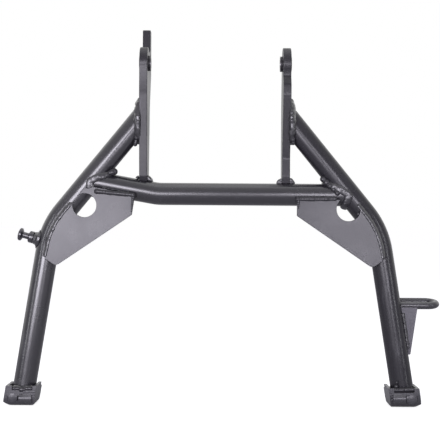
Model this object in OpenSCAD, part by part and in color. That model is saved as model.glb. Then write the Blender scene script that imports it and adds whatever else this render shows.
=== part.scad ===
// Centre stand of a motorcycle, a welded frame of bent steel tube.
// Lengths are in millimetres. The pivot axis runs along X through the origin.
// Y points to the rear of the motorcycle and Z points up.
// The pieces of the left side are drawn on the right side and mirrored.

/* [Pivot plates] */
// distance between the middle planes of the two pivot plates
plate_spacing = 169; // [150:1:184]
// thickness of each pivot plate
plate_thickness = 9.5; // [8:0.5:12]
// radius of the eye at the top of each pivot plate
eye_radius = 19; // [17:0.5:22]
// outside diameter of each pivot tube
pivot_tube_d = 18; // [16:0.5:20]
// bore of each pivot tube
pivot_bore_d = 12.2; // [9:0.1:13]
// length by which a pivot tube stands out on the inner side
pivot_stand_in = 3; // [1.5:0.5:6]
// length by which a pivot tube stands out on the outer side
pivot_stand_out = 1; // [0.5:0.5:3]
// height of the stop hook above the pivot axis
hook_height = 46; // [32:1:52]
// distance of the stop hook behind the pivot axis
hook_reach = 33; // [28:1:38]

/* [Cross tube] */
// outside diameter of the cross tube
cross_d = 26.4; // [22:0.2:28]
// wall of the cross tube
cross_wall = 2.6; // [1.6:0.1:3.6]
// height of the pivot axis above the middle of the cross tube
cross_drop = 155; // [148:1:162]
// angle by which the left end of the cross tube is bent up
cross_kick = 10; // [4:1:12]
// distance of the start of that bend from the middle of the stand
kick_start = 62; // [56:1:64]
// radius of that bend on the middle line of the tube
kick_radius = 60; // [50:1:62]

/* [Legs] */
// outside diameter of each leg tube
leg_d = 26.8; // [23.4:0.2:30]
// wall of each leg tube
leg_wall = 2.6; // [1.6:0.1:3.6]
// distance of each knee from the middle of the stand
knee_reach = 194.5; // [188:1:202]
// height of the pivot axis above the knees
knee_drop = 196.6; // [190:1:204]
// angle of the upper part of a leg to the vertical
upper_lean = 39.2; // [37:0.5:41]
// angle of the lower part of a leg to the vertical
lower_lean = 9; // [6:0.5:11]
// bend radius of a knee on the middle line of the tube
knee_radius = 95; // [85:5:110]
// height of the pivot axis above the soles
stand_height = 405; // [390:1:425]

/* [Gussets] */
// thickness of each gusset
gusset_thickness = 4; // [3:0.5:5]
// distance from the outer face of a pivot plate to the inner edge of its gusset
gusset_start = 7.5; // [6:0.5:18]
// height of the inner edge of a gusset below the middle of the cross tube
gusset_drop = 25.2; // [23:0.2:32]
// radius of the round relief in the corner of a gusset
relief_radius = 14; // [11:0.5:15]

/* [Feet] */
// width of each foot
foot_width = 36; // [33.4:0.2:40]
// length of each foot from front to rear
foot_length = 42; // [38:1:56]
// height of each foot
foot_height = 24; // [20:1:30]
// thickness of the pressed sheet of a foot
foot_wall = 3.4; // [2.6:0.1:3.4]
// outside radius of the rolled front lip
lip_radius = 5.4; // [4.6:0.2:6]

/* [Spring peg] */
// diameter of the head of the spring peg
peg_head_d = 15; // [13:0.5:18]
// diameter of the neck of the spring peg
peg_neck_d = 7.5; // [6:0.5:9]
// diameter of the collar of the spring peg
peg_collar_d = 14; // [12:0.5:16]
// length of the whole peg outside the leg
peg_length = 24; // [20:0.5:28]

/* [Foot lever] */
// diameter of the round bar of the foot lever
bar_d = 8.6; // [7:0.2:9.6]
// distance of the outer end of the foot lever from the middle of the stand
lever_reach = 271.6; // [262:0.2:285]
// height of the pivot axis above the foot lever
lever_drop = 284.8; // [276:0.2:295]
// distance between the two arms of the foot lever
arm_spacing = 26; // [22:1:34]
// thickness of the bracket under the foot lever
bracket_thickness = 4; // [3:0.5:5]
// length of the bracket along the leg
bracket_length = 56; // [44:1:66]

/* [Weld beads] */
// width of the large weld beads
bead_size = 5; // [4:0.2:5.6]
// width of the small weld beads
small_bead_size = 3.4; // [2.6:0.2:3.8]
// share by which every second ripple of a bead is smaller
ripple = 0.12; // [0:0.02:0.2]

/* [Hidden] */
// clearance between parts that fit together
fit = 0.05;
// lift of a faceted bead off a round tube
lift = 0.09;
// length that cutting bodies reach past what they cut
over = 1;
full_turn = 360;
half_turn = 180;
leg_r = leg_d / 2;
cross_r = cross_d / 2;
plate_in = plate_spacing / 2 - plate_thickness / 2;
plate_out = plate_spacing / 2 + plate_thickness / 2;
tube_in = plate_in - pivot_stand_in;
tube_out = plate_out + pivot_stand_out;
Y_AXIS = [0, 1, 0];
round_steps = 96;
small_steps = 48;

// knee geometry of the right leg in the plane of the stand
knee = [knee_reach, 0, -knee_drop];
upper_dir = [sin(upper_lean), 0, -cos(upper_lean)];
lower_dir = [sin(lower_lean), 0, -cos(lower_lean)];
knee_run = knee_radius * tan((upper_lean - lower_lean) / 2);
bend_top = knee - knee_run * upper_dir;
bend_centre = bend_top - knee_radius * [cos(upper_lean), 0, sin(upper_lean)];
bend_length = knee_radius * PI * (upper_lean - lower_lean) / half_turn;
bend_bottom = knee + knee_run * lower_dir;
upper_length = norm(bend_top) + leg_d;
lower_length = stand_height - knee_drop + leg_d;

// geometry of an end of the cross tube, with the kick as an angle
kick_drop_gain = kick_radius * (1 - cos(cross_kick));
function end_dir(kick) = [cos(kick), 0, sin(kick)];
function end_up(kick) = [-sin(kick), 0, cos(kick)];
function end_start(kick) = kick == 0
    ? [kick_start, 0, -cross_drop]
    : [kick_start + kick_radius * sin(kick), 0, kick_drop_gain - cross_drop];
end_length = knee_reach - kick_start;

// foot geometry
function leg_x(z) = knee_reach + (-z - knee_drop) * tan(lower_lean);
function foot_x(z, shift) = leg_x(z) + shift;
foot_top = foot_height - stand_height;
foot_floor = foot_wall - stand_height;
foot_corner = 10;
foot_shift = 0.8;
lip_lift = 2.4;
lip_stand = 4.2;
chamfer_w = 8;
chamfer_h = 5;
inner_chamfer = 2;
worn_corner = 16;
foot_notch = 5;
foot_notch_w = 24;

// small vector helpers
function unit(v) = v / norm(v);
function mix(a, b, t) = a * (1 - t) + b * t;
function arc_angle(a, b) = let (d = b - a)
    d > half_turn ? d - full_turn : d < -half_turn ? d + full_turn : d;

// outline with rounded corners, each corner given as two coordinates and a radius
function corner_arc(p, q, r, n) = let (
        c = [q[0], q[1]],
        u = unit([p[0], p[1]] - c),
        v = unit([r[0], r[1]] - c),
        h = acos(u * v) / 2,
        m = c + unit(u + v) * q[2] / sin(h),
        s = c + u * q[2] / tan(h) - m,
        e = c + v * q[2] / tan(h) - m,
        a = atan2(s[1], s[0]),
        w = arc_angle(a, atan2(e[1], e[0]))
    ) [for (i = [0 : n]) m + q[2] * [cos(a + w * i / n), sin(a + w * i / n)]];
function rounded_outline(k, n) = [
    for (i = [0 : len(k) - 1])
        for (p = k[i][2] == 0
            ? [[k[i][0], k[i][1]]]
            : corner_arc(k[(i + len(k) - 1) % len(k)], k[i], k[(i + 1) % len(k)], n)) p
];

// supports of a bead, a flat face or a round tube, each with its surface normal
function flat(point, normal) = [0, point, unit(normal)];
function tube(point, axis, radius) = [1, point, unit(axis), radius];
function spoke(s, p) = let (q = p - s[1]) q - (q * s[2]) * s[2];
function normal_at(s, p) = s[0] == 0 ? s[2] : unit(spoke(s, p));
function laid_on(s, p, gap) = s[0] == 0
    ? p + (gap - (p - s[1]) * s[2]) * s[2]
    : p + (s[3] + gap - norm(spoke(s, p))) * normal_at(s, p);
function side_dir(n, t, away) = let (d = cross(n, t)) unit(d * away > 0 ? d : -d);

// one ring of a corner bead between two supports, which part along the given way where they are level
function corner_ring(p, t, a, b, size, way) = let (
        na = normal_at(a, p),
        nb = normal_at(b, p),
        da = side_dir(na, t, nb - way),
        db = side_dir(nb, t, na + way),
        toe_a = laid_on(a, p + size * da, lift),
        toe_b = laid_on(b, p + size * db, lift),
        crown = 0.2 * size * unit(na + nb)
    ) [
        p + lift * (na + nb) / (1 + na * nb),
        laid_on(a, p + size * da / 2, lift),
        toe_a,
        mix(toe_a, toe_b, 0.3) + crown,
        mix(toe_a, toe_b, 0.7) + crown,
        toe_b,
        laid_on(b, p + size * db / 2, lift)
    ];
function rippled(size, i) = size * (i % 2 == 0 ? 1 : 1 - ripple);

// skin over a row of rings, turned so that it faces outward
function turned(r) = [for (j = [0 : len(r) - 1]) r[(len(r) - j) % len(r)]];
module bead_skin(rows, closed) {
    n = len(rows);
    m = len(rows[0]);
    area = cross(rows[0][1] - rows[0][0], rows[0][m - 1] - rows[0][0]);
    rings = area * (rows[1][0] - rows[0][0]) > 0 ? [for (r = rows) turned(r)] : rows;
    last = closed ? n - 1 : n - 2;
    walls = [
        for (i = [0 : last])
            for (j = [0 : m - 1])
                let (k = (i + 1) % n, l = (j + 1) % m)
                for (f = [[i * m + j, i * m + l, k * m + l], [i * m + j, k * m + l, k * m + j]]) f
    ];
    caps = closed ? [] : [[for (j = [m - 1 : -1 : 0]) j], [for (j = [0 : m - 1]) (n - 1) * m + j]];
    polyhedron([for (r = rings) for (p = r) p], concat(walls, caps));
}

// bead along a row of points in a corner between two supports
module corner_bead(path, a, b, size, closed, way = [0, 0, 0]) {
    n = len(path);
    rings = [
        for (i = [0 : n - 1])
            let (
                before = path[closed ? (i + n - 1) % n : max(i - 1, 0)],
                after = path[closed ? (i + 1) % n : min(i + 1, n - 1)]
            )
            corner_ring(path[i], unit(after - before), a, b, rippled(size, i), way)
    ];
    bead_skin(rings, closed);
}

// round rod from one point to another
module rod(from, to, d) {
    v = to - from;
    translate(from)
        rotate([0, acos(v[2] / norm(v)), atan2(v[1], v[0])])
            cylinder(h = norm(v), d = d, $fn = round_steps);
}

// outline in the Y and Z plane drawn out along X
module drawn_along_x(x, w) {
    translate([x, 0, 0])
        rotate([90, 0, 90])
            linear_extrude(w)
                children();
}

// outline in the X and Z plane drawn out along Y
module drawn_along_y(y, w) {
    translate([0, y + w, 0])
        rotate([90, 0, 0])
            linear_extrude(w)
                children();
}

// solid body of the right leg without its end cuts
module leg_body(d) {
    translate(bend_centre)
        rotate([90, 0, 0]) {
            rotate([0, 0, lower_lean])
                rotate_extrude(angle = upper_lean - lower_lean, $fn = round_steps)
                    translate([knee_radius, 0])
                        circle(d = d, $fn = small_steps);
            rotate([0, 0, lower_lean])
                translate([knee_radius, 0, 0])
                    rotate([90, 0, 0])
                        cylinder(h = lower_length, d = d, $fn = small_steps);
            rotate([0, 0, upper_lean])
                translate([knee_radius, 0, 0])
                    rotate([-90, 0, 0])
                        cylinder(h = upper_length, d = d, $fn = small_steps);
        }
}

// bent tube that reaches from the pivot plate to the floor of the foot
module leg() {
    difference() {
        leg_body(leg_d);
        leg_body(leg_d - 2 * leg_wall);
        translate([plate_out + fit - 2 * upper_length, -leg_d, -knee_drop])
            cube([2 * upper_length, 2 * leg_d, 2 * knee_drop]);
        translate([0, -leg_d, foot_floor + chamfer_h + fit - 3 * leg_d])
            cube([2 * knee_reach, 2 * leg_d, 3 * leg_d]);
    }
}

// solid body of one half of the cross tube
module cross_half(kick, d) {
    translate([-over * (kick == 0 ? 1 : 0), 0, -cross_drop])
        rotate([0, 90, 0])
            cylinder(h = kick_start + over * (kick == 0 ? 1 : 0), d = d, $fn = small_steps);
    if (kick > 0)
        translate([kick_start, 0, kick_radius - cross_drop])
            rotate([90, 0, 0])
                rotate([0, 0, -90])
                    rotate_extrude(angle = kick, $fn = round_steps)
                        translate([kick_radius, 0])
                            circle(d = d, $fn = small_steps);
    translate(end_start(kick))
        rotate([0, 90 - kick, 0])
            cylinder(h = end_length, d = d, $fn = small_steps);
}

module cross_body(d) {
    cross_half(0, d);
    mirror([1, 0, 0])
        cross_half(cross_kick, d);
}

// outline of the right pivot plate in the Y and Z plane
seat = -cross_drop;
front_lean = 12;
rear_lean = 62;
function seat_point(a, r) = [r * sin(a), seat + r * cos(a)];
right_outline = [
    [-eye_radius + 1, -2, 0],
    [-eye_radius + 4, -16, 5],
    [-eye_radius - 2, -26, 8],
    [-eye_radius - 2, -38, 14],
    [-3, -112, 14],
    [seat_point(-front_lean, cross_r + 9)[0], seat_point(-front_lean, cross_r + 9)[1], 8],
    [seat_point(-front_lean, cross_r - 4)[0], seat_point(-front_lean, cross_r - 4)[1], 0],
    [seat_point(rear_lean, cross_r - 4)[0], seat_point(rear_lean, cross_r - 4)[1], 0],
    [seat_point(rear_lean, cross_r + 8)[0], seat_point(rear_lean, cross_r + 8)[1], 3],
    [24, -112, 12],
    [24, -50, 40],
    [eye_radius - 1, -4, 0]
];
hook_width = 16;
hook_throat = 19;
left_outline = [
    [-eye_radius + 1, -2, 0],
    [-eye_radius, -40, 60],
    [-eye_radius + 7, -100, 40],
    [seat_point(-2 * front_lean, cross_r + 9)[0], seat_point(-2 * front_lean, cross_r + 9)[1], 8],
    [seat_point(-2 * front_lean, cross_r - 4)[0], seat_point(-2 * front_lean, cross_r - 4)[1], 0],
    [seat_point(rear_lean, cross_r - 4)[0], seat_point(rear_lean, cross_r - 4)[1], 0],
    [seat_point(rear_lean, cross_r + 8)[0], seat_point(rear_lean, cross_r + 8)[1], 3],
    [24, -112, 12],
    [30, -50, 40],
    [hook_reach + hook_width, -8, 18],
    [hook_reach + hook_width - 1, hook_height, 4],
    [hook_reach, hook_height, 3],
    [hook_reach - 1, hook_throat, 7],
    [8, 14, 0]
];

// flat plate with the eye for the pivot tube and a seat on the cross tube
module pivot_plate(outline, kick) {
    difference() {
        union() {
            drawn_along_x(plate_in, plate_thickness)
                polygon(rounded_outline(outline, 6));
            translate([plate_in, 0, 0])
                rotate([0, 90, 0])
                    cylinder(h = plate_thickness, r = eye_radius, $fn = round_steps);
        }
        translate([plate_in - over, 0, 0])
            rotate([0, 90, 0])
                cylinder(h = plate_thickness + 2 * over, d = pivot_tube_d + 2 * fit, $fn = small_steps);
        translate(end_start(kick) - 2 * over * end_dir(kick))
            rotate([0, 90 - kick, 0])
                cylinder(h = end_length, d = cross_d + 2 * fit, $fn = small_steps);
    }
}

// tube in the eye that turns on the pivot bolt
module pivot_tube() {
    difference() {
        translate([tube_in, 0, 0])
            rotate([0, 90, 0])
                cylinder(h = tube_out - tube_in, d = pivot_tube_d, $fn = small_steps);
        translate([tube_in - over, 0, 0])
            rotate([0, 90, 0])
                cylinder(h = tube_out - tube_in + 2 * over, d = pivot_bore_d, $fn = small_steps);
    }
}

// flat gusset lapped on the front of the leg and of the cross tube
gusset_back = -max(leg_r, cross_r) - fit;
gusset_front = gusset_back - gusset_thickness;
gusset_x = plate_out + gusset_start;
gusset_lap = 2.5;
gusset_seat = 6;
gusset_rim = 8;
gusset_rise = 11;
gusset_corner = [knee_reach - 9, -knee_drop - 44];
// corner where the middle line of a leg meets the middle line of the cross tube
function joint_corner(kick) = let (
        e = end_start(kick),
        s = (knee_reach - e[0] - (e[2] + knee_drop) * tan(upper_lean)) / (cos(kick) + sin(kick) * tan(upper_lean))
    ) [e[0] + s * cos(kick), e[2] + s * sin(kick)];
relief_down = 11;
relief_in = leg_r;
relief_shift_up = 5;
relief_shift_in = 2;
function relief_centre(kick) = let (s = kick > 0 ? 1 : 0)
    joint_corner(0) + (relief_down - s * relief_shift_up) * [sin(upper_lean), -cos(upper_lean)]
    - (relief_in + s * relief_shift_in) * [cos(upper_lean), sin(upper_lean)];
module gusset(kick) {
    difference() {
        drawn_along_y(gusset_front, gusset_thickness)
            polygon(rounded_outline([
                [gusset_x, -cross_drop + leg_d, 0],
                [gusset_x, -cross_drop - gusset_drop, 2],
                [gusset_corner[0], gusset_corner[1], 6],
                [knee_reach + gusset_rim, gusset_corner[1] + gusset_rise, 0],
                [knee_reach + gusset_rim, -cross_drop + leg_d, 0]
            ], 6));
        translate([relief_centre(kick)[0], gusset_front - over, relief_centre(kick)[1]])
            rotate([-90, 0, 0])
                cylinder(h = gusset_thickness + 2 * over, r = relief_radius, $fn = small_steps);
        translate([joint_corner(kick)[0], gusset_front - over, joint_corner(kick)[1]])
            rotate([-90, 0, 0])
                cylinder(h = gusset_thickness + 2 * over, r = 1.8 * bead_size, $fn = small_steps);
        translate(end_start(kick))
            rotate([0, -kick, 0])
                translate([-kick_start, -leg_d, -gusset_seat])
                    cube([3 * kick_start + end_length, 2 * leg_d, cross_drop]);
        translate(bend_centre)
            rotate([90, 0, 0]) {
                rotate([0, 0, lower_lean])
                    translate([0, 0, -leg_d])
                        rotate_extrude(angle = upper_lean - lower_lean, $fn = round_steps)
                            translate([knee_radius - gusset_lap, 0])
                                square([3 * leg_d, 2 * leg_d]);
                rotate([0, 0, lower_lean])
                    translate([knee_radius - gusset_lap, -lower_length, -leg_d])
                        cube([3 * leg_d, lower_length + over, 2 * leg_d]);
                rotate([0, 0, upper_lean])
                    translate([knee_radius - gusset_lap, -over, -leg_d])
                        cube([3 * leg_d, upper_length + over, 2 * leg_d]);
            }
    }
}

// outer and inner form of a foot, the inset shrinks it to its inner form
module foot_form(inset, top, shift, front_round) {
    half = foot_width / 2 - inset;
    low = inset - stand_height;
    low_side = low + chamfer_h;
    bottom_inner = foot_x(low, shift) - half;
    bottom_outer = foot_x(low, shift) + half - chamfer_w;
    intersection() {
        drawn_along_y(-foot_length, 2 * foot_length)
            polygon([
                [foot_x(top, shift) - half, top],
                [foot_x(top, shift) + half, top],
                [foot_x(low_side, shift) + half, low_side],
                [bottom_outer, low],
                [bottom_inner + inner_chamfer, low],
                [foot_x(low + inner_chamfer, shift) - half, low + inner_chamfer]
            ]);
        drawn_along_x(0, 2 * knee_reach)
            polygon(rounded_outline([
                [-foot_length / 2 + inset, top, 0],
                [foot_length / 2 - inset, top, 0],
                [foot_length / 2 - inset, low, foot_corner - inset],
                [-foot_length / 2 + inset, low, front_round - inset]
            ], 8));
    }
}

// pressed shoe around the lower end of a leg with a rolled front lip
module foot(shift, lift, front_round) {
    lip_y = -foot_length / 2;
    lip_z = lift + lip_radius + lip_stand - stand_height;
    difference() {
        union() {
            foot_form(0, foot_top, shift, front_round);
            translate([foot_x(lip_z, shift) - foot_width / 2 + foot_wall, lip_y + 2, lip_z])
                rotate([0, 90, 0])
                    cylinder(h = foot_width / 2 - foot_wall, r = lip_radius, $fn = small_steps);
        }
        foot_form(foot_wall, foot_top + over, shift, front_round);
        translate([leg_x(foot_top) - foot_notch_w / 2 - 0.5, -foot_length, foot_top - foot_notch])
            cube([foot_notch_w, 2 * foot_length, foot_notch + over]);
        translate([0, leg_r, foot_top - foot_notch])
            cube([2 * knee_reach, foot_length, foot_notch + over]);
        translate([foot_x(lip_z, shift) - 4, lip_y + 1, lip_z])
            rotate([0, 90, 0])
                cylinder(h = foot_width / 2, r = lip_radius - 2.4, $fn = small_steps);
    }
}

// cranked end of the cross tube is cut to the round of the leg
module cross_tube() {
    difference() {
        cross_body(cross_d);
        cross_body(cross_d - 2 * cross_wall);
        for (side = [0, 1])
            mirror([side, 0, 0]) {
                leg_body(leg_d + 2 * fit);
                translate(knee - leg_d * upper_dir)
                    rotate([0, -upper_lean, 0])
                        translate([0, -leg_d, -leg_d])
                            cube([3 * leg_d, 2 * leg_d, 5 * leg_d]);
            }
    }
}

// turned peg that holds the return spring, drawn around its own axis
peg_angle = 14.6;
peg_root = knee_radius + leg_r;
peg_collar_start = 5.5;
peg_collar_length = 5.5;
peg_neck_start = peg_collar_start + peg_collar_length;
peg_head_start = peg_length - 5;
module on_peg_axis() {
    translate(bend_centre)
        rotate([0, -peg_angle, 0])
            rotate([0, 90, 0])
                children();
}
module knee_round(d) {
    translate(bend_centre)
        rotate([90, 0, 0])
            rotate([0, 0, peg_angle - 20])
                rotate_extrude(angle = 40, $fn = 3 * round_steps)
                    translate([knee_radius, 0])
                        circle(d = d, $fn = round_steps);
}
module spring_peg() {
    on_peg_axis()
        translate([0, 0, peg_root])
            rotate_extrude($fn = small_steps)
                polygon(concat(
                    [[0, peg_neck_start + fit], [peg_neck_d / 2, peg_neck_start + fit]],
                    [[peg_neck_d / 2, peg_head_start - 1], [peg_head_d / 2 - 1.4, peg_head_start]],
                    [[peg_head_d / 2, peg_head_start + 1], [peg_head_d / 2, peg_head_start + 3]],
                    [[peg_head_d / 2 - 0.8, peg_head_start + 4], [peg_head_d / 4, peg_length], [0, peg_length]]
                ));
}
module spring_peg_collar() {
    difference() {
        on_peg_axis()
            translate([0, 0, peg_root - 3])
                rotate_extrude($fn = small_steps)
                    polygon([
                        [0, 0],
                        [peg_collar_d / 2 - 2, 0],
                        [peg_collar_d / 2 - 2, 3 + peg_collar_start - 0.6],
                        [peg_collar_d / 2, 3 + peg_collar_start],
                        [peg_collar_d / 2, 3 + peg_neck_start - 1],
                        [peg_collar_d / 2 - 1, 3 + peg_neck_start],
                        [0, 3 + peg_neck_start]
                    ]);
        knee_round(leg_d + 2 * fit);
    }
}
module spring_peg_weld() {
    inner = peg_collar_d / 2 - 2 + fit;
    difference() {
        on_peg_axis()
            translate([0, 0, peg_root - 4])
                rotate_extrude($fn = small_steps)
                    polygon(concat(
                        [[inner, 0], [peg_collar_d / 2 + 4, 0]],
                        [for (a = [0 : 15 : 75]) [peg_collar_d / 2 + 4 * (1 - sin(a)), 8.6 - 5 * cos(a)]],
                        [[peg_collar_d / 2 - 0.3, 8.7], [inner, 8.7]]
                    ));
        knee_round(leg_d + 2 * fit);
    }
}

// foot lever of bent round bar, both ends meet the right leg
bar_r = bar_d / 2;
near_y = bracket_thickness / 2 + bar_r + fit;
far_y = near_y + arm_spacing;
loop_r = arm_spacing / 2;
loop_x = lever_reach - bar_r - loop_r;
lever_tilt = 6.8;
end_bend_r = 10;
lever_x = leg_x(-lever_drop);
module lever_frame() {
    translate([0, near_y, -lever_drop - 1.5])
        rotate([lever_tilt, 0, 0])
            children();
}
module foot_lever() {
    difference() {
        lever_frame() {
            translate([lever_x, 0, 0])
                rotate([0, 90, 0])
                    cylinder(h = loop_x - lever_x, d = bar_d, $fn = small_steps);
            translate([loop_x, loop_r, 0])
                rotate([0, 0, -90])
                    rotate_extrude(angle = 180, $fn = round_steps)
                        translate([loop_r, 0])
                            circle(d = bar_d, $fn = small_steps);
            translate([lever_x + end_bend_r, arm_spacing, 0])
                rotate([0, 90, 0])
                    cylinder(h = loop_x - lever_x - end_bend_r, d = bar_d, $fn = small_steps);
            translate([lever_x + end_bend_r, arm_spacing - end_bend_r, 0])
                rotate([0, 0, 90])
                    rotate_extrude(angle = 90, $fn = round_steps)
                        translate([end_bend_r, 0])
                            circle(d = bar_d, $fn = small_steps);
            translate([lever_x, 0, 0])
                rotate([-90, 0, 0])
                    cylinder(h = arm_spacing - end_bend_r, d = bar_d, $fn = small_steps);
        }
        leg_body(leg_d + 2 * fit);
        translate([0, -leg_d, -stand_height])
            cube([lever_x, leg_d + leg_r - 3, stand_height]);
    }
}

// tapered bracket between the leg and the near arm of the foot lever
bracket_top = -lever_drop - 3;
bracket_width = 19.5;
module foot_lever_bracket() {
    difference() {
        drawn_along_y(-bracket_thickness / 2, bracket_thickness)
            polygon(rounded_outline([
                [leg_x(bracket_top), bracket_top, 0],
                [leg_x(bracket_top) + leg_r + bracket_width, bracket_top, 1.5],
                [leg_x(bracket_top) + leg_r + bracket_width - 1.5, bracket_top - 10, 8],
                [leg_x(bracket_top - bracket_length) + leg_r + 2.5, bracket_top - bracket_length, 1],
                [leg_x(bracket_top - bracket_length), bracket_top - bracket_length, 0]
            ], 4));
        leg_body(leg_d + 2 * fit);
    }
}

// bead around the cut upper end of a leg on the pivot plate
bead_rings = 44;
leg_tube = tube(knee, upper_dir, leg_r);
module plate_to_leg_weld() {
    face = flat([plate_out, 0, 0], [1, 0, 0]);
    side = [cos(upper_lean), 0, sin(upper_lean)];
    path = [
        for (i = [0 : bead_rings - 1])
            let (
                a = full_turn * i / bead_rings,
                p = knee + leg_r * (cos(a) * side + sin(a) * Y_AXIS)
            )
            p + (plate_out - p[0]) / upper_dir[0] * upper_dir
    ];
    corner_bead(path, face, leg_tube, bead_size, true);
}

// bead around an end of the cross tube on the leg
function saddle_point(kick, a) = let (
        u = end_dir(kick),
        q = end_start(kick) + cross_r * (cos(a) * end_up(kick) + sin(a) * Y_AXIS),
        e = spoke(leg_tube, q),
        w = u - (u * upper_dir) * upper_dir,
        h = e * w / (w * w),
        k = (e * e - leg_r * leg_r) / (w * w)
    ) q - (h + sqrt(max(h * h - k, 0))) * u;
module cross_to_leg_weld(kick) {
    path = [for (i = [0 : bead_rings - 1]) saddle_point(kick, full_turn * i / bead_rings)];
    sleeve = tube(end_start(kick), end_dir(kick), cross_r);
    corner_bead(path, sleeve, leg_tube, bead_size * 0.85, true, end_dir(kick) / 5);
}

// bead on one face of a pivot plate along its seat on the cross tube
seat_rings = 15;
module plate_face_bead(kick, x, normal, from, to) {
    path = [
        for (i = [0 : seat_rings - 1])
            let (
                a = from + (to - from) * i / (seat_rings - 1),
                p = end_start(kick) + cross_r * (cos(a) * end_up(kick) + sin(a) * Y_AXIS)
            )
            p + (x - p[0]) / end_dir(kick)[0] * end_dir(kick)
    ];
    corner_bead(
        path, tube(end_start(kick), end_dir(kick), cross_r), flat([x, 0, 0], normal), 1.25 * bead_size, false
    );
}
module plate_to_cross_weld(kick, from) {
    plate_face_bead(kick, plate_out, [1, 0, 0], from, rear_lean - 2);
    plate_face_bead(kick, plate_in, [-1, 0, 0], from, rear_lean - 2);
}

// lap bead in the step from the front of a tube up to the face of a gusset
function lap_point(p, side, u, y) = p + u * side - y * Y_AXIS;
function on_front(r, u) = sqrt(r * r - u * u) + lift;
function lap_ring(p, side, r, lap, size) = let (e = lap - fit, face = -gusset_front + fit, w = size * 0.95) [
        lap_point(p, side, e, face),
        lap_point(p, side, e + size * 0.3, face),
        lap_point(p, side, e - size * 0.1, face + size * 0.16),
        lap_point(p, side, e - w * 0.6, face - size * 0.24),
        lap_point(p, side, e - w, on_front(r, e - w)),
        lap_point(p, side, e - w / 2, on_front(r, e - w / 2)),
        lap_point(p, side, e, on_front(r, e))
    ];
function leg_station(s) = s < 0
    ? bend_top + s * upper_dir
    : s > bend_length
        ? bend_bottom + (s - bend_length) * lower_dir
        : let (a = upper_lean - s * half_turn / (PI * knee_radius)) bend_centre + knee_radius * [cos(a), 0, sin(a)];
function leg_side(s) = let (
        a = s < 0 ? upper_lean : s > bend_length ? lower_lean : upper_lean - s * half_turn / (PI * knee_radius)
    ) [-cos(a), 0, -sin(a)];
lap_rings = 36;
module gusset_to_leg_weld() {
    start = -14;
    finish = bend_length + 8;
    bead_skin([
        for (i = [0 : lap_rings - 1])
            let (s = start + (finish - start) * i / (lap_rings - 1))
            lap_ring(leg_station(s), leg_side(s), leg_r, gusset_lap, rippled(bead_size, i))
    ], false);
}
module gusset_to_cross_weld(kick) {
    hole = relief_centre(kick) - [end_start(kick)[0], end_start(kick)[2]];
    first = (gusset_x + 1 - end_start(kick)[0]) / cos(kick);
    last = hole * [cos(kick), sin(kick)] - relief_radius - 2;
    rings = 19;
    bead_skin([
        for (i = [0 : rings - 1])
            let (s = first + (last - first) * (rings - 1 - i) / (rings - 1))
            lap_ring(
                end_start(kick) + s * end_dir(kick), -end_up(kick), cross_r, gusset_seat, rippled(bead_size, i)
            )
    ], false);
}

// lumpy bead between a leg and the notched walls of its foot
foot_weld_rings = 15;
module foot_weld_arc(turn) {
    floor_z = foot_top - foot_notch + fit;
    bead_skin([
        for (i = [0 : foot_weld_rings - 1])
            let (
                a = turn - 46 + 92 * i / (foot_weld_rings - 1),
                g = rippled(1, i)
            )
            [
                for (q = [[0, 0], [4.6 * g, 0], [4.4 * g, 1.6 * g], [2.8 * g, 3.4 * g], [1, 4.4 * g], [0, 4.6 * g]])
                    let (z = floor_z + q[1], r = leg_r / cos(lower_lean) + lift + q[0])
                    [leg_x(z) + r * sin(a), -r * cos(a), z]
            ]
    ], false);
}
module foot_weld() {
    foot_weld_arc(0);
    foot_weld_arc(180);
}

// straight beads on both sides of the bracket along the leg
lower_tube = tube(bend_bottom, lower_dir, leg_r);
bracket_rings = 25;
module bracket_bead(side) {
    half = bracket_thickness / 2;
    u = sqrt(leg_r * leg_r - half * half);
    out = [cos(lower_lean), 0, sin(lower_lean)];
    top = (bracket_top - 9 - bend_bottom[2]) / lower_dir[2];
    span = bracket_length - 13;
    path = [
        for (i = [0 : bracket_rings - 1])
            bend_bottom + (top + span * i / (bracket_rings - 1)) * lower_dir + u * out + side * half * Y_AXIS
    ];
    corner_bead(path, flat([0, side * half, 0], [0, side, 0]), lower_tube, small_bead_size, false);
}
module bracket_weld() {
    bracket_bead(-1);
    bracket_bead(1);
}

// bead along the back of the bracket under the near arm of the lever
module lever_weld() {
    z = -lever_drop - 1.5 - bar_r;
    bead_skin([
        for (i = [0 : 10])
            let (
                x = lever_x + leg_r + 3 + 13 * i / 10,
                g = rippled(1, i),
                y = bracket_thickness / 2 + lift
            )
            [
                [x, y, z - 0.4],
                [x, y + 2.6 * g, z - 0.4],
                [x, y + 2 * g, z - 2.2 * g],
                [x, y, z - 3.6 * g]
            ]
    ], false);
}

// named pieces
STEEL = [0.16, 0.16, 0.18];
BARE = [0.62, 0.62, 0.64];
BEAD = [0.22, 0.22, 0.24];
module left_side() {
    mirror([1, 0, 0])
        children();
}
module left_leg() { color(STEEL) left_side() leg(); }
module right_leg() { color(STEEL) leg(); }
module cross_member() { color(STEEL) cross_tube(); }
module left_pivot_plate() { color(STEEL) left_side() pivot_plate(left_outline, cross_kick); }
module right_pivot_plate() { color(STEEL) pivot_plate(right_outline, 0); }
module left_pivot_tube() { color(BARE) left_side() pivot_tube(); }
module right_pivot_tube() { color(BARE) pivot_tube(); }
module left_gusset() { color(STEEL) left_side() gusset(cross_kick); }
module right_gusset() { color(STEEL) gusset(0); }
module left_foot() { color(STEEL) left_side() foot(foot_shift, 0, foot_corner); }
module right_foot() { color(STEEL) foot(-foot_shift, lip_lift, worn_corner); }
module peg() { color(STEEL) left_side() spring_peg(); }
module peg_collar() { color(STEEL) left_side() spring_peg_collar(); }
module lever() { color(STEEL) foot_lever(); }
module lever_bracket() { color(STEEL) foot_lever_bracket(); }
module left_plate_leg_weld() { color(BEAD) left_side() plate_to_leg_weld(); }
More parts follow.
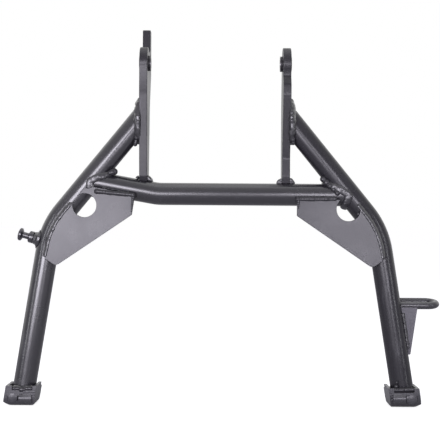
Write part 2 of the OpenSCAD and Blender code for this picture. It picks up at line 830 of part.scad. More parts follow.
module right_plate_leg_weld() { color(BEAD) plate_to_leg_weld(); }
module left_plate_seat_weld() { color(BEAD) left_side() plate_to_cross_weld(cross_kick, 4 - 2 * front_lean); }
module right_plate_seat_weld() { color(BEAD) plate_to_cross_weld(0, 2 - front_lean); }
module left_cross_weld() { color(BEAD) left_side() cross_to_leg_weld(cross_kick); }
module right_cross_weld() { color(BEAD) cross_to_leg_weld(0); }
module left_gusset_leg_weld() { color(BEAD) left_side() gusset_to_leg_weld(); }
module right_gusset_leg_weld() { color(BEAD) gusset_to_leg_weld(); }
module left_gusset_cross_weld() { color(BEAD) left_side() gusset_to_cross_weld(cross_kick); }
module right_gusset_cross_weld() { color(BEAD) gusset_to_cross_weld(0); }
module left_foot_weld() { color(BEAD) left_side() foot_weld(); }
module right_foot_weld() { color(BEAD) foot_weld(); }
module peg_weld() { color(BEAD) left_side() spring_peg_weld(); }
module lever_bracket_weld() { color(BEAD) bracket_weld(); }
module lever_bar_weld() { color(BEAD) lever_weld(); }

left_leg();
right_leg();
cross_member();
left_pivot_plate();
right_pivot_plate();
left_pivot_tube();
right_pivot_tube();
left_gusset();
right_gusset();
left_foot();
right_foot();
peg();
peg_collar();
lever();
lever_bracket();
left_plate_leg_weld();
right_plate_leg_weld();
left_plate_seat_weld();
right_plate_seat_weld();
left_cross_weld();
right_cross_weld();
left_gusset_leg_weld();
right_gusset_leg_weld();
left_gusset_cross_weld();
right_gusset_cross_weld();
left_foot_weld();
right_foot_weld();
peg_weld();
lever_bracket_weld();
lever_bar_weld();
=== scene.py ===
import bpy, bmesh, math, random
from mathutils import Matrix, Vector


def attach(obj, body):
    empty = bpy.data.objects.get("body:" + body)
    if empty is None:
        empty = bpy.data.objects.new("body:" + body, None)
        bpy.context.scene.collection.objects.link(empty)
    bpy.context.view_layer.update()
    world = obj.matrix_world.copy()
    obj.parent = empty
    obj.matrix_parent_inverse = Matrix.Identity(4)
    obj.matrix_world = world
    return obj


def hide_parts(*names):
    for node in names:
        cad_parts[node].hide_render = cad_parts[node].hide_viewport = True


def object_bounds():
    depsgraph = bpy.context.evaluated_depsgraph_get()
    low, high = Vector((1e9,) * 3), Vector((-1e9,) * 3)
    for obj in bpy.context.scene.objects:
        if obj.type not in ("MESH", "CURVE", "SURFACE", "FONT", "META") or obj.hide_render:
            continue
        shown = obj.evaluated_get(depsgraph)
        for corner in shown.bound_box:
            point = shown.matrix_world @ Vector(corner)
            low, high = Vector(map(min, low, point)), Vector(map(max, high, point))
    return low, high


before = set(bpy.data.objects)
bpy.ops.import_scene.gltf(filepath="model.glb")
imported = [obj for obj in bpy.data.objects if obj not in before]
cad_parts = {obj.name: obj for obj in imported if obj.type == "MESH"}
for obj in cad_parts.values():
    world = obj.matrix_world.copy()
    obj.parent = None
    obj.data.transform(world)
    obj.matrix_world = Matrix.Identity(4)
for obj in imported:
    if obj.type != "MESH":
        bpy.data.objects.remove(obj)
cad_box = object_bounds()

# Studio camera: a level catalogue shot of the front, taken 1.2 m off at half the
# height of the stand and turned a hair about its own axis.
camera_lens = bpy.data.cameras.new("catalogue_camera")
camera_lens.lens = 82.6
camera_lens.sensor_width = 36.0
camera = bpy.data.objects.new("catalogue_camera", camera_lens)
camera.location = (0.0066, -1.2, -0.1856)
camera.rotation_euler = (math.radians(90), math.radians(-0.4), 0)
bpy.context.collection.objects.link(camera)
bpy.context.scene.camera = camera
bpy.context.scene.view_settings.view_transform = "Standard"

# White room: the camera sees plain white all round. Mirror and clear rays see that
# white only behind and above the stand, and a dim studio on the camera's side of it,
# and the light that the room itself gives to the steel is dim and a little violet.
room = bpy.data.worlds.new("white_room")
bpy.context.scene.world = room
room.use_nodes = True
room_nodes, room_links = room.node_tree.nodes, room.node_tree.links
room_nodes.clear()
room_out = room_nodes.new("ShaderNodeOutputWorld")
room_fill = room_nodes.new("ShaderNodeBackground")
room_fill.inputs["Color"].default_value = (0.92, 0.9, 1.0, 1)
room_fill.inputs["Strength"].default_value = 0.3
room_seen = room_nodes.new("ShaderNodeBackground")
room_seen.inputs["Color"].default_value = (1, 1, 1, 1)
room_seen.inputs["Strength"].default_value = 1.0
room_ray = room_nodes.new("ShaderNodeLightPath")
room_way = room_nodes.new("ShaderNodeTexCoord")
room_axes = room_nodes.new("ShaderNodeSeparateXYZ")
room_rear = room_nodes.new("ShaderNodeMapRange")
room_rear.inputs["From Min"].default_value = -0.35
room_rear.inputs["From Max"].default_value = 0.35
room_above = room_nodes.new("ShaderNodeMapRange")
room_above.inputs["From Min"].default_value = 0.1
room_above.inputs["From Max"].default_value = 0.9
room_above.inputs["To Max"].default_value = 0.9
bright_side = room_nodes.new("ShaderNodeMath")
bright_side.operation = "MAXIMUM"
glossy_or_clear = room_nodes.new("ShaderNodeMath")
glossy_or_clear.operation = "MAXIMUM"
mirror_share = room_nodes.new("ShaderNodeMath")
mirror_share.operation = "MULTIPLY"
or_camera = room_nodes.new("ShaderNodeMath")
or_camera.operation = "MAXIMUM"
room_mix = room_nodes.new("ShaderNodeMixShader")
room_links.new(room_way.outputs["Generated"], room_axes.inputs[0])
room_links.new(room_axes.outputs["Y"], room_rear.inputs["Value"])
room_links.new(room_ray.outputs["Is Glossy Ray"], glossy_or_clear.inputs[0])
room_links.new(room_ray.outputs["Is Transmission Ray"], glossy_or_clear.inputs[1])
room_links.new(glossy_or_clear.outputs[0], mirror_share.inputs[0])
room_links.new(room_axes.outputs["Z"], room_above.inputs["Value"])
room_links.new(room_rear.outputs["Result"], bright_side.inputs[0])
room_links.new(room_above.outputs["Result"], bright_side.inputs[1])
room_links.new(bright_side.outputs[0], mirror_share.inputs[1])
room_links.new(mirror_share.outputs[0], or_camera.inputs[0])
room_links.new(room_ray.outputs["Is Camera Ray"], or_camera.inputs[1])
room_links.new(or_camera.outputs[0], room_mix.inputs[0])
room_links.new(room_fill.outputs[0], room_mix.inputs[1])
room_links.new(room_seen.outputs[0], room_mix.inputs[2])
room_links.new(room_mix.outputs[0], room_out.inputs["Surface"])

# Studio floor: a white sweep just under the soles, which takes the soft shadow of the
# stand. It glows towards the camera by the share that brings it up to plain white.
floor_drop = 0.0004
floor_half = 30
floor_glow_share = 0.78
floor_mesh = bpy.data.meshes.new("studio_floor")
floor_form = bmesh.new()
bmesh.ops.create_grid(floor_form, x_segments=1, y_segments=1, size=floor_half)
bmesh.ops.translate(floor_form, verts=floor_form.verts, vec=(0, 0, cad_box[0][2] - floor_drop))
floor_form.to_mesh(floor_mesh)
floor_form.free()
floor = bpy.data.objects.new("studio_floor", floor_mesh)
bpy.context.collection.objects.link(floor)
floor_paint = bpy.data.materials.new("white_floor")
floor_paint.use_nodes = True
floor_nodes, floor_links = floor_paint.node_tree.nodes, floor_paint.node_tree.links
floor_matte = floor_nodes["Principled BSDF"]
floor_matte.inputs["Base Color"].default_value = (0.8, 0.8, 0.8, 1)
floor_matte.inputs["Roughness"].default_value = 0.9
floor_matte.inputs["Specular IOR Level"].default_value = 0.0
floor_glow = floor_nodes.new("ShaderNodeEmission")
floor_ray = floor_nodes.new("ShaderNodeLightPath")
floor_share = floor_nodes.new("ShaderNodeMath")
floor_share.operation = "MULTIPLY"
floor_share.inputs[1].default_value = floor_glow_share
floor_sum = floor_nodes.new("ShaderNodeAddShader")
floor_links.new(floor_ray.outputs["Is Camera Ray"], floor_share.inputs[0])
floor_links.new(floor_share.outputs[0], floor_glow.inputs["Strength"])
floor_links.new(floor_matte.outputs[0], floor_sum.inputs[0])
floor_links.new(floor_glow.outputs[0], floor_sum.inputs[1])
floor_links.new(floor_sum.outputs[0], floor_nodes["Material Output"].inputs["Surface"])
floor_mesh.materials.append(floor_paint)


# Soft boxes: two panels behind the camera with a dark gap between them, so that the
# flat gussets read light and the middle of the cross tube dark, then a strip on each
# side and a panel overhead that draw the streaks along the tubes.
def soft_box(name, place, target, width, height, power, tint):
    lamp = bpy.data.lights.new(name, "AREA")
    lamp.shape = "RECTANGLE"
    lamp.size = width
    lamp.size_y = height
    lamp.energy = power
    lamp.color = tint
    box = bpy.data.objects.new(name, lamp)
    box.location = place
    box.rotation_euler = (Vector(target) - Vector(place)).to_track_quat("-Z", "Y").to_euler()
    bpy.context.collection.objects.link(box)


cool, violet = (0.95, 0.96, 1.0), (0.93, 0.9, 1.0)
soft_box(
    "front_left_panel", place=(-0.59, -1.7, -0.12), target=(-0.14, 0, -0.16),
    width=0.84, height=0.56, power=22, tint=violet,
)
soft_box(
    "front_right_panel", place=(0.48, -1.7, -0.14), target=(0.14, 0, -0.2),
    width=0.5, height=0.45, power=9, tint=violet,
)
soft_box(
    "right_strip", place=(1.3, -0.85, -0.1), target=(0.15, 0, -0.2),
    width=0.14, height=0.9, power=3.5, tint=cool,
)
soft_box(
    "left_strip", place=(-1.3, -0.8, -0.1), target=(-0.15, 0, -0.2),
    width=0.14, height=0.9, power=2.5, tint=cool,
)
soft_box(
    "overhead_panel", place=(0.0, -0.1, 1.9), target=(0, 0, -0.15),
    width=2.4, height=1.4, power=8, tint=cool,
)


# Cross tube: bent steel tube under black powder coat, cut to the round of each leg.
# The coat is sprayed and baked, so it has a fine orange peel, a sheen that changes
# in patches, a film of dust on top and thin rubbed lines along the run.
def new_effect(name, numbers, results):
    effect = bpy.data.node_groups.new(name, "ShaderNodeTree")
    for label, value in numbers:
        dial = effect.interface.new_socket(name=label, in_out="INPUT", socket_type="NodeSocketFloat")
        dial.default_value = value
    for label, kind in results:
        effect.interface.new_socket(name=label, in_out="OUTPUT", socket_type=kind)
    return effect, effect.nodes.new("NodeGroupInput"), effect.nodes.new("NodeGroupOutput")


peel, peel_in, peel_out = new_effect(
    "orange_peel",
    [("Grain Size", 900.0), ("Grain Depth", 0.1), ("Sheen Low", 0.24), ("Sheen High", 0.36)],
    [("Roughness", "NodeSocketFloat"), ("Normal", "NodeSocketVector")],
)
peel_place = peel.nodes.new("ShaderNodeTexCoord")
peel_grain = peel.nodes.new("ShaderNodeTexNoise")
peel_grain.inputs["Detail"].default_value = 2.0
peel_patch = peel.nodes.new("ShaderNodeTexNoise")
peel_patch.inputs["Scale"].default_value = 22.0
peel_patch.inputs["Detail"].default_value = 3.0
peel_bump = peel.nodes.new("ShaderNodeBump")
peel_bump.inputs["Distance"].default_value = 0.0003
peel_sheen = peel.nodes.new("ShaderNodeMapRange")
peel_sheen.inputs["From Min"].default_value = 0.35
peel_sheen.inputs["From Max"].default_value = 0.65
peel.links.new(peel_place.outputs["Object"], peel_grain.inputs["Vector"])
peel.links.new(peel_place.outputs["Object"], peel_patch.inputs["Vector"])
peel.links.new(peel_in.outputs["Grain Size"], peel_grain.inputs["Scale"])
peel.links.new(peel_in.outputs["Grain Depth"], peel_bump.inputs["Strength"])
peel.links.new(peel_grain.outputs["Fac"], peel_bump.inputs["Height"])
peel.links.new(peel_patch.outputs["Fac"], peel_sheen.inputs["Value"])
peel.links.new(peel_in.outputs["Sheen Low"], peel_sheen.inputs["To Min"])
peel.links.new(peel_in.outputs["Sheen High"], peel_sheen.inputs["To Max"])
peel.links.new(peel_sheen.outputs["Result"], peel_out.inputs["Roughness"])
peel.links.new(peel_bump.outputs["Normal"], peel_out.inputs["Normal"])

dust, dust_in, dust_out = new_effect(
    "settled_dust", [("Amount", 0.5), ("Speck Size", 700.0)], [("Mask", "NodeSocketFloat")]
)
dust_place = dust.nodes.new("ShaderNodeTexCoord")
dust_cloud = dust.nodes.new("ShaderNodeTexNoise")
dust_cloud.inputs["Scale"].default_value = 35.0
dust_cloud.inputs["Detail"].default_value = 5.0
dust_speck = dust.nodes.new("ShaderNodeTexNoise")
dust_speck.inputs["Detail"].default_value = 1.0
dust_facing = dust.nodes.new("ShaderNodeNewGeometry")
dust_up = dust.nodes.new("ShaderNodeSeparateXYZ")
dust_lie = dust.nodes.new("ShaderNodeMapRange")
dust_lie.inputs["From Min"].default_value = -0.3
dust_lie.inputs["From Max"].default_value = 0.9
dust_lie.inputs["To Min"].default_value = 0.15
dust_thick = dust.nodes.new("ShaderNodeMapRange")
dust_thick.inputs["From Min"].default_value = 0.42
dust_thick.inputs["From Max"].default_value = 0.75
dust_grain = dust.nodes.new("ShaderNodeMapRange")
dust_grain.inputs["From Min"].default_value = 0.5
dust_grain.inputs["From Max"].default_value = 0.68
dust_both = dust.nodes.new("ShaderNodeMath")
dust_both.operation = "ADD"
dust_on = dust.nodes.new("ShaderNodeMath")
dust_on.operation = "MULTIPLY"
dust_scale = dust.nodes.new("ShaderNodeMath")
dust_scale.operation = "MULTIPLY"
dust_scale.use_clamp = True
dust.links.new(dust_place.outputs["Object"], dust_cloud.inputs["Vector"])
dust.links.new(dust_place.outputs["Object"], dust_speck.inputs["Vector"])
dust.links.new(dust_in.outputs["Speck Size"], dust_speck.inputs["Scale"])
dust.links.new(dust_facing.outputs["Normal"], dust_up.inputs["Vector"])
dust.links.new(dust_up.outputs["Z"], dust_lie.inputs["Value"])
dust.links.new(dust_cloud.outputs["Fac"], dust_thick.inputs["Value"])
dust.links.new(dust_speck.outputs["Fac"], dust_grain.inputs["Value"])
dust.links.new(dust_thick.outputs["Result"], dust_both.inputs[0])
dust.links.new(dust_grain.outputs["Result"], dust_both.inputs[1])
dust.links.new(dust_both.outputs[0], dust_on.inputs[0])
dust.links.new(dust_lie.outputs["Result"], dust_on.inputs[1])
dust.links.new(dust_on.outputs[0], dust_scale.inputs[0])
dust.links.new(dust_in.outputs["Amount"], dust_scale.inputs[1])
dust.links.new(dust_scale.outputs[0], dust_out.inputs["Mask"])

rub, rub_in, rub_out = new_effect(
    "rubbed_lines", [("Amount", 0.4), ("Fineness", 160.0)], [("Mask", "NodeSocketFloat")]
)
rub_place = rub.nodes.new("ShaderNodeTexCoord")
rub_slant = rub.nodes.new("ShaderNodeMapping")
rub_slant.inputs["Rotation"].default_value = (0.3, 0.9, 0.2)
rub_slant.inputs["Scale"].default_value = (1.0, 1.0, 0.06)
rub_line = rub.nodes.new("ShaderNodeTexNoise")
rub_line.inputs["Detail"].default_value = 4.0
rub_where = rub.nodes.new("ShaderNodeTexNoise")
rub_where.inputs["Scale"].default_value = 28.0
rub_thin = rub.nodes.new("ShaderNodeMapRange")
rub_thin.inputs["From Min"].default_value = 0.62
rub_thin.inputs["From Max"].default_value = 0.7
rub_some = rub.nodes.new("ShaderNodeMapRange")
rub_some.inputs["From Min"].default_value = 0.5
rub_some.inputs["From Max"].default_value = 0.62
rub_both = rub.nodes.new("ShaderNodeMath")
rub_both.operation = "MULTIPLY"
rub_scale = rub.nodes.new("ShaderNodeMath")
rub_scale.operation = "MULTIPLY"
rub.links.new(rub_place.outputs["Object"], rub_slant.inputs["Vector"])
rub.links.new(rub_slant.outputs["Vector"], rub_line.inputs["Vector"])
rub.links.new(rub_in.outputs["Fineness"], rub_line.inputs["Scale"])
rub.links.new(rub_place.outputs["Object"], rub_where.inputs["Vector"])
rub.links.new(rub_line.outputs["Fac"], rub_thin.inputs["Value"])
rub.links.new(rub_where.outputs["Fac"], rub_some.inputs["Value"])
rub.links.new(rub_thin.outputs["Result"], rub_both.inputs[0])
rub.links.new(rub_some.outputs["Result"], rub_both.inputs[1])
rub.links.new(rub_both.outputs[0], rub_scale.inputs[0])
rub.links.new(rub_in.outputs["Amount"], rub_scale.inputs[1])
rub.links.new(rub_scale.outputs[0], rub_out.inputs["Mask"])


dust_colour = (0.21, 0.205, 0.215, 1)
rubbed_colour = (0.17, 0.17, 0.185, 1)
dulled_by_dust = 0.35
plain_specular = 0.36
gloss_specular = 0.6


def powder_coat(name, colour, sheen, grain, depth, dustiness, rubs, gloss):
    sheen_low, sheen_high = sheen
    coat = bpy.data.materials.new(name)
    coat.use_nodes = True
    nodes, links = coat.node_tree.nodes, coat.node_tree.links
    skin = nodes["Principled BSDF"]
    skin.inputs["Specular IOR Level"].default_value = plain_specular + gloss_specular * gloss
    skin.inputs["Coat Weight"].default_value = gloss
    skin.inputs["Coat Roughness"].default_value = sheen_low
    surface = nodes.new("ShaderNodeGroup")
    surface.node_tree = peel
    surface.inputs["Grain Size"].default_value = grain
    surface.inputs["Grain Depth"].default_value = depth
    surface.inputs["Sheen Low"].default_value = sheen_low
    surface.inputs["Sheen High"].default_value = sheen_high
    settled = nodes.new("ShaderNodeGroup")
    settled.node_tree = dust
    settled.inputs["Amount"].default_value = dustiness
    lines = nodes.new("ShaderNodeGroup")
    lines.node_tree = rub
    lines.inputs["Amount"].default_value = rubs
    dusted = nodes.new("ShaderNodeMix")
    dusted.data_type = "RGBA"
    dusted.inputs["A"].default_value = (*colour, 1)
    dusted.inputs["B"].default_value = dust_colour
    rubbed = nodes.new("ShaderNodeMix")
    rubbed.data_type = "RGBA"
    rubbed.inputs["B"].default_value = rubbed_colour
    duller = nodes.new("ShaderNodeMath")
    duller.operation = "MULTIPLY_ADD"
    duller.inputs[1].default_value = dulled_by_dust
    links.new(settled.outputs["Mask"], dusted.inputs["Factor"])
    links.new(lines.outputs["Mask"], rubbed.inputs["Factor"])
    links.new(dusted.outputs["Result"], rubbed.inputs["A"])
    links.new(rubbed.outputs["Result"], skin.inputs["Base Color"])
    links.new(settled.outputs["Mask"], duller.inputs[0])
    links.new(surface.outputs["Roughness"], duller.inputs[2])
    links.new(duller.outputs[0], skin.inputs["Roughness"])
    links.new(surface.outputs["Normal"], skin.inputs["Normal"])
    return coat


tube_coat = powder_coat(
    "black_coat_on_tube", colour=(0.016, 0.015, 0.019), sheen=(0.22, 0.28), grain=500, depth=0.02,
    dustiness=0.03, rubs=0.1, gloss=0.4,
)


merge_gap = 0.000002
sharp_angle = 30


def merged_form(node):
    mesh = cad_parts[node].data.copy()
    mesh.name = node + "_form"
    form = bmesh.new()
    form.from_mesh(mesh)
    bmesh.ops.remove_doubles(form, verts=form.verts, dist=merge_gap)
    bmesh.ops.recalc_face_normals(form, faces=form.faces)
    return mesh, form


def shade(form, sharp):
    for face in form.faces:
        face.smooth = True
    for edge in form.edges:
        edge.smooth = len(edge.link_faces) == 2 and edge.calc_face_angle(0) < math.radians(sharp)


def place_piece(name, mesh, coat, slot_name, *stands_for):
    piece = bpy.data.objects.new(name, mesh)
    bpy.context.collection.objects.link(piece)
    mesh.materials.clear()
    mesh.materials.append(coat)
    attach(piece, "root")
    if stands_for:
        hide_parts(*stands_for)
    return piece


def steel_run(node, name, coat):
    mesh, form = merged_form(node)
    shade(form, sharp_angle)
    form.to_mesh(mesh)
    form.free()
    return place_piece(name, mesh, coat, "black_coat", node)


steel_run("cross_member", "cross_tube_coated", tube_coat)

# Legs: one length of steel tube on each side, bent over a former at the knee. They
# carry the same black coat with a little more dust. The right leg gets a copy with
# less gloss, which is painted shade: it reads darker than the left one.
# the right leg's low gloss is painted shade, so that leg reads darker than the left
for side, gloss in (("left", 0.5), ("right", 0.05)):
    leg_coat = powder_coat(
        "black_coat_on_" + side + "_leg", colour=(0.018, 0.017, 0.021), sheen=(0.23, 0.29),
        grain=500, depth=0.02, dustiness=0.04, rubs=0.12, gloss=gloss,
    )
    steel_run(side + "_leg", side + "_leg_coated", leg_coat)

# Pivot plates: flame cut from flat steel, the left one with the stop hook at its rear.
# Their cut edges are eased by the blasting before the coat goes on.
plate_coat = powder_coat(
    "black_coat_on_plate", colour=(0.018, 0.017, 0.021), sheen=(0.3, 0.36), grain=500, depth=0.05,
    dustiness=0.06, rubs=0.2, gloss=0.0,
)


def flat_work(node, name, coat, edge_round):
    mesh, form = merged_form(node)
    bmesh.ops.dissolve_limit(form, angle_limit=math.radians(0.6), verts=form.verts, edges=form.edges)
    shade(form, sharp_angle)
    form.to_mesh(mesh)
    form.free()
    piece = place_piece(name, mesh, coat, "black_coat", node)
    eased = piece.modifiers.new("eased_edges", "BEVEL")
    eased.width = edge_round
    eased.segments = 3
    eased.limit_method = "ANGLE"
    eased.angle_limit = math.radians(40)
    eased.harden_normals = True


for side in ("left", "right"):
    flat_work(side + "_pivot_plate", side + "_pivot_plate_coated", plate_coat, edge_round=0.0009)

# Pivot tubes: drawn tube pressed and welded into the eyes. The bore is reamed after
# the coat, so the steel in it is bare, with fine turning marks.
bare_bore = bpy.data.materials.new("reamed_steel")
bare_bore.use_nodes = True
bore_nodes, bore_links = bare_bore.node_tree.nodes, bare_bore.node_tree.links
bore_skin = bore_nodes["Principled BSDF"]
bore_skin.inputs["Base Color"].default_value = (0.42, 0.41, 0.42, 1)
bore_skin.inputs["Metallic"].default_value = 1.0
bore_place = bore_nodes.new("ShaderNodeTexCoord")
bore_turns = bore_nodes.new("ShaderNodeTexWave")
bore_turns.bands_direction = "X"
bore_turns.inputs["Scale"].default_value = 900.0
bore_turns.inputs["Distortion"].default_value = 1.5
bore_bump = bore_nodes.new("ShaderNodeBump")
bore_bump.inputs["Strength"].default_value = 0.2
bore_bump.inputs["Distance"].default_value = 0.0001
bore_stain = bore_nodes.new("ShaderNodeTexNoise")
bore_stain.inputs["Scale"].default_value = 160.0
bore_sheen = bore_nodes.new("ShaderNodeMapRange")
bore_sheen.inputs["To Min"].default_value = 0.25
bore_sheen.inputs["To Max"].default_value = 0.5
bore_links.new(bore_place.outputs["Object"], bore_turns.inputs["Vector"])
bore_links.new(bore_place.outputs["Object"], bore_stain.inputs["Vector"])
bore_links.new(bore_turns.outputs["Fac"], bore_bump.inputs["Height"])
bore_links.new(bore_bump.outputs["Normal"], bore_skin.inputs["Normal"])
bore_links.new(bore_stain.outputs["Fac"], bore_sheen.inputs["Value"])
bore_links.new(bore_sheen.outputs["Result"], bore_skin.inputs["Roughness"])
bore_reach = 0.0075
for side in ("left", "right"):
    sleeve = steel_run(side + "_pivot_tube", side + "_pivot_tube_turned", plate_coat)
    sleeve.data.materials.append(bare_bore)
    for face in sleeve.data.polygons:
        if math.hypot(face.center.y, face.center.z) < bore_reach and abs(face.normal.x) < 0.5:
            face.material_index = 1

# Gussets: sheet steel cut to shape with a round relief in the corner, lapped on the
# front of both tubes. Their flat faces show an even coat with little gloss.
gusset_coat = powder_coat(
    "black_coat_on_gusset", colour=(0.02, 0.019, 0.024), sheen=(0.26, 0.31), grain=500, depth=0.03,
    dustiness=0.05, rubs=0.1, gloss=0.05,
)
for side in ("left", "right"):
    flat_work(side + "_gusset", side + "_gusset_coated", gusset_coat, edge_round=0.0007)

# Feet: shoes pressed from thick sheet around the lower ends of the legs. The inner
# half of the front is rolled into a lip. They are the dustiest pieces of the stand.
foot_coat = powder_coat(
    "black_coat_on_foot", colour=(0.036, 0.035, 0.041), sheen=(0.26, 0.4), grain=600, depth=0.2,
    dustiness=0.3, rubs=0.6, gloss=0.2,
)
for side in ("left", "right"):
    flat_work(side + "_foot", side + "_foot_pressed", foot_coat, edge_round=0.0008)

# Spring peg: turned on a lathe with a disc head, a slim neck and a stepped collar that
# is welded to the outside of the left knee.
peg_coat = powder_coat(
    "black_coat_on_peg", colour=(0.024, 0.023, 0.028), sheen=(0.2, 0.3), grain=700, depth=0.1,
    dustiness=0.1, rubs=0.3, gloss=0.3,
)
steel_run("peg", "peg_turned", peg_coat)
steel_run("peg_collar", "peg_collar_turned", peg_coat)

# Foot lever: round bar bent into a loop that the boot presses, on a tapered bracket
# of flat steel welded to the outside of the right leg.
lever_coat = powder_coat(
    "black_coat_on_lever", colour=(0.028, 0.027, 0.032), sheen=(0.24, 0.36), grain=700, depth=0.14,
    dustiness=0.2, rubs=0.6, gloss=0.2,
)
steel_run("lever", "lever_bent", lever_coat)
# The bracket's coat is mixed several times lighter than the black of the other pieces: painted light,
# standing in for the light that its flat face catches.
painted_light_bracket_coat = powder_coat(
    "painted_light_coat_on_bracket", colour=(0.06, 0.057, 0.07), sheen=(0.36, 0.46), grain=700, depth=0.12,
    dustiness=0.2, rubs=0.3, gloss=0.1,
)
flat_work("lever_bracket", "lever_bracket_coated", painted_light_bracket_coat, edge_round=0.0006)

# Weld beads: runs of filler metal along every joint. The swell fattens a bead, the
# lump is the height of its uneven spots, and the passes let it settle like a liquid.
weld_coat = powder_coat(
    "black_coat_on_weld", colour=(0.018, 0.017, 0.021), sheen=(0.26, 0.34), grain=400, depth=0.02,
    dustiness=0.05, rubs=0.0, gloss=0.5,
)
weld_lumps = bpy.data.textures.new("weld_lumps", "CLOUDS")
weld_lumps.noise_scale = 0.005
weld_lumps.noise_depth = 1
bead_voxel = 0.00055


def fuse_metal(piece, voxel, passes):
    fused = piece.modifiers.new("fused_metal", "REMESH")
    fused.mode = "VOXEL"
    fused.voxel_size = voxel
    fused.use_smooth_shade = True
    settled = piece.modifiers.new("surface_tension", "SMOOTH")
    settled.iterations = passes


def weld_run(node, lump, swell, passes=5):
    mesh, form = merged_form(node)
    bmesh.ops.join_triangles(
        form,
        faces=form.faces,
        angle_face_threshold=math.radians(40),
        angle_shape_threshold=math.radians(60),
    )
    for face in form.faces:
        face.smooth = True
    form.to_mesh(mesh)
    form.free()
    piece = place_piece(node + "_run", mesh, weld_coat, "weld_coat", node)
    softer = piece.modifiers.new("run_of_metal", "SUBSURF")
    softer.levels = 2
    softer.render_levels = 2
    lumps = piece.modifiers.new("stops_and_starts", "DISPLACE")
    lumps.texture = weld_lumps
    lumps.texture_coords = "LOCAL"
    lumps.strength = lump
    lumps.mid_level = 0.5 - swell / lump
    fuse_metal(piece, bead_voxel, passes)


for joint in ("left_plate_leg_weld", "right_plate_leg_weld"):
    weld_run(joint, lump=0.003, swell=0.0022, passes=25)
for joint in ("left_cross_weld", "right_cross_weld", "left_gusset_cross_weld", "right_gusset_cross_weld"):
    weld_run(joint, lump=0.0024, swell=0.0018, passes=30)
for joint in ("left_gusset_leg_weld", "right_gusset_leg_weld"):
    weld_run(joint, lump=0.0012, swell=0.0008, passes=25)
for joint in ("left_plate_seat_weld", "right_plate_seat_weld"):
    weld_run(joint, lump=0.002, swell=0.0009)
for joint in ("left_foot_weld", "right_foot_weld", "peg_weld"):
    weld_run(joint, lump=0.0014, swell=0.0005)
for joint in ("lever_bracket_weld", "lever_bar_weld"):
    weld_run(joint, lump=0.0008, swell=0.0003, passes=15)

# Crests of the welds: round lumps where the welder stopped, started or laid a second
# pass. Each is laid from its start to its end, both in mm, with the radius of its
# first and last lump and the spacing of the lumps, and the hand sways a little.
crest_coat = powder_coat(
    "black_coat_on_crest", colour=(0.016, 0.015, 0.019), sheen=(0.26, 0.34), grain=400, depth=0.03,
    dustiness=0.05, rubs=0.0, gloss=0.1,
)
mm_in_metre = 1000
hand_sway = random.Random(7)
least_sway, most_sway = 0.92, 1.1
crest_flatness = 0.8


def fused_lumps(name, spots, flatness, coat, slot_name, voxel=0.0005, passes=3):
    mesh = bpy.data.meshes.new(name)
    form = bmesh.new()
    for x, y, z, radius in spots:
        place = Matrix.Translation(Vector((x, y, z)) / mm_in_metre)
        squeeze = Matrix.Diagonal((1, flatness, 1, 1))
        bmesh.ops.create_icosphere(
            form, subdivisions=2, radius=radius / mm_in_metre, matrix=place @ squeeze
        )
    form.to_mesh(mesh)
    form.free()
    piece = place_piece(name, mesh, coat, slot_name)
    fuse_metal(piece, voxel, passes)


def lay_crest(name, start, end, first_radius, last_radius, spacing):
    start, end = Vector(start), Vector(end)
    stops = max(1, round((end - start).length / spacing))
    spots = []
    for stop in range(stops + 1):
        along = stop / stops
        radius = first_radius + (last_radius - first_radius) * along
        spots.append((*start.lerp(end, along), radius * hand_sway.uniform(least_sway, most_sway)))
    fused_lumps(name, spots, crest_flatness, crest_coat, "weld_coat")


lay_crest("left_plate_crest", (-91.5, -9, -55.5), (-92.5, -10.5, -89.5), 2.5, 2.9, 2.2)
lay_crest("left_plate_drop", (-93, -9.5, -93), (-94, -8.5, -97), 2.4, 2.6, 2.5)
lay_crest("left_corner_crest", (-118.5, -9.5, -129.5), (-123.5, -11.5, -131), 4.4, 3.2, 3.0)
lay_crest("left_gusset_crest", (-138, -16.5, -153), (-95.5, -16.5, -157), 3.5, 3.2, 3.3)
lay_crest("left_gusset_end", (-95.5, -17.5, -160), (-97.5, -16.5, -178), 2.2, 1.4, 2.6)
lay_crest("left_joint_crest", (-128.5, -14.5, -150.5), (-133.5, -15, -152), 2.6, 2.4, 2.4)
lay_crest("left_relief_stop", (-166.5, -15.5, -179), (-167.5, -15.5, -181), 2.2, 2.0, 2.0)
lay_crest("left_foot_crest", (-233.5, -19, -384.5), (-213.5, -19, -384.5), 2.5, 2.5, 2.2)
lay_crest("left_foot_stop", (-225, -20, -385.5), (-221.5, -20, -385.5), 2.9, 2.7, 2.2)
lay_crest("right_plate_crest", (89, -9, -54), (92, -10.5, -90.5), 2.5, 2.8, 2.2)
lay_crest("right_plate_drop", (92.5, -9, -93), (92.5, -8.5, -94.5), 2.6, 2.6, 2.5)
lay_crest("right_corner_crest", (128, -8.5, -136.5), (144.5, -13.5, -153), 4.3, 3.5, 6.0)
lay_crest("right_gusset_crest", (98, -16.5, -160.5), (141, -16.5, -160), 3.0, 3.0, 3.0)
lay_crest("right_gusset_end", (98.5, -17.5, -161.5), (98.5, -17, -171), 1.9, 1.4, 2.6)
lay_crest("right_relief_stop", (169, -15.5, -177.5), (153.5, -12, -165.5), 2.3, 2.4, 15.0)
lay_crest("right_foot_crest", (211.5, -19, -383.5), (233.5, -19, -382.5), 2.5, 2.5, 2.2)
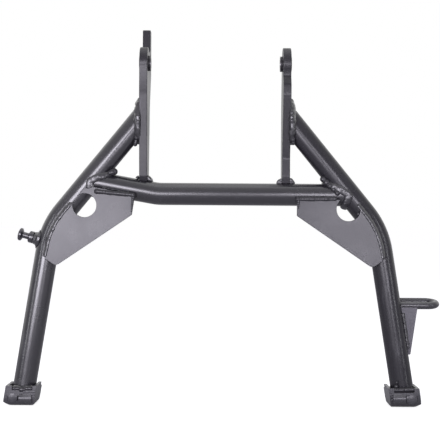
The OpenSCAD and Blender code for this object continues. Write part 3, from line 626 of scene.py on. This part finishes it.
lay_crest("right_foot_stop", (214.5, -17, -379.5), (215.5, -16, -375), 2.4, 1.7, 4.5)

# Pressed forms of the feet: the outer half of each front is a smooth bulge that the
# press leaves beside the rolled lip, and three fine ridges run along the roll. Where
# the roll ends, a near-black lump paints the shade of the hollow there: painted
# shade, not a recess in the steel. Places and radii are in mm.
painted_shade_paint = powder_coat(
    "painted_shade_black", colour=(0.006, 0.006, 0.007), sheen=(0.6, 0.8), grain=300, depth=0.1,
    dustiness=0.1, rubs=0.0, gloss=0.0,
)
bulge_radius = 7.4
bulge_flatness = 0.26
painted_shade_flatness = 0.4
ridge_radius = 1.2
ridge_front = -20.6
ridge_drops = (0, 3.2, 6.4)


def foot_front(side, bulge, painted_shade_spot, painted_shade_radius, roll_start, roll_end, roll_top):
    fused_lumps(
        side + "_foot_wing", [(*bulge, bulge_radius)], bulge_flatness, foot_coat, "black_coat",
        voxel=0.0006,
    )
    # near-black lump of painted shade where the roll ends, standing in for the hollow's shadow
    fused_lumps(
        side + "_foot_painted_shade", [(*painted_shade_spot, painted_shade_radius)], painted_shade_flatness, painted_shade_paint, "black_coat",
        voxel=0.0003, passes=2,
    )
    mesh = bpy.data.meshes.new(side + "_lip_ridges")
    form = bmesh.new()
    for drop in ridge_drops:
        middle = Vector(((roll_start + roll_end) / 2, ridge_front, roll_top - drop)) / mm_in_metre
        bmesh.ops.create_cone(
            form,
            cap_ends=True,
            segments=24,
            radius1=ridge_radius / mm_in_metre,
            radius2=ridge_radius / mm_in_metre,
            depth=abs(roll_end - roll_start) / mm_in_metre,
            matrix=Matrix.Translation(middle) @ Matrix.Rotation(math.radians(90), 4, "Y"),
        )
    shade(form, 60)
    form.to_mesh(mesh)
    form.free()
    place_piece(side + "_lip_ridges", mesh, foot_coat, "black_coat")


foot_front(
    "left", bulge=(-234.9, -19.5, -394.0), painted_shade_spot=(-224.5, -21.2, -396.7), painted_shade_radius=1.7,
    roll_start=-222.1, roll_end=-208.0, roll_top=-387.5,
)
foot_front(
    "right", bulge=(232.0, -19.5, -392.9), painted_shade_spot=(222.3, -21.2, -395.4), painted_shade_radius=1.9,
    roll_start=220.6, roll_end=207.7, roll_top=-387.9,
)
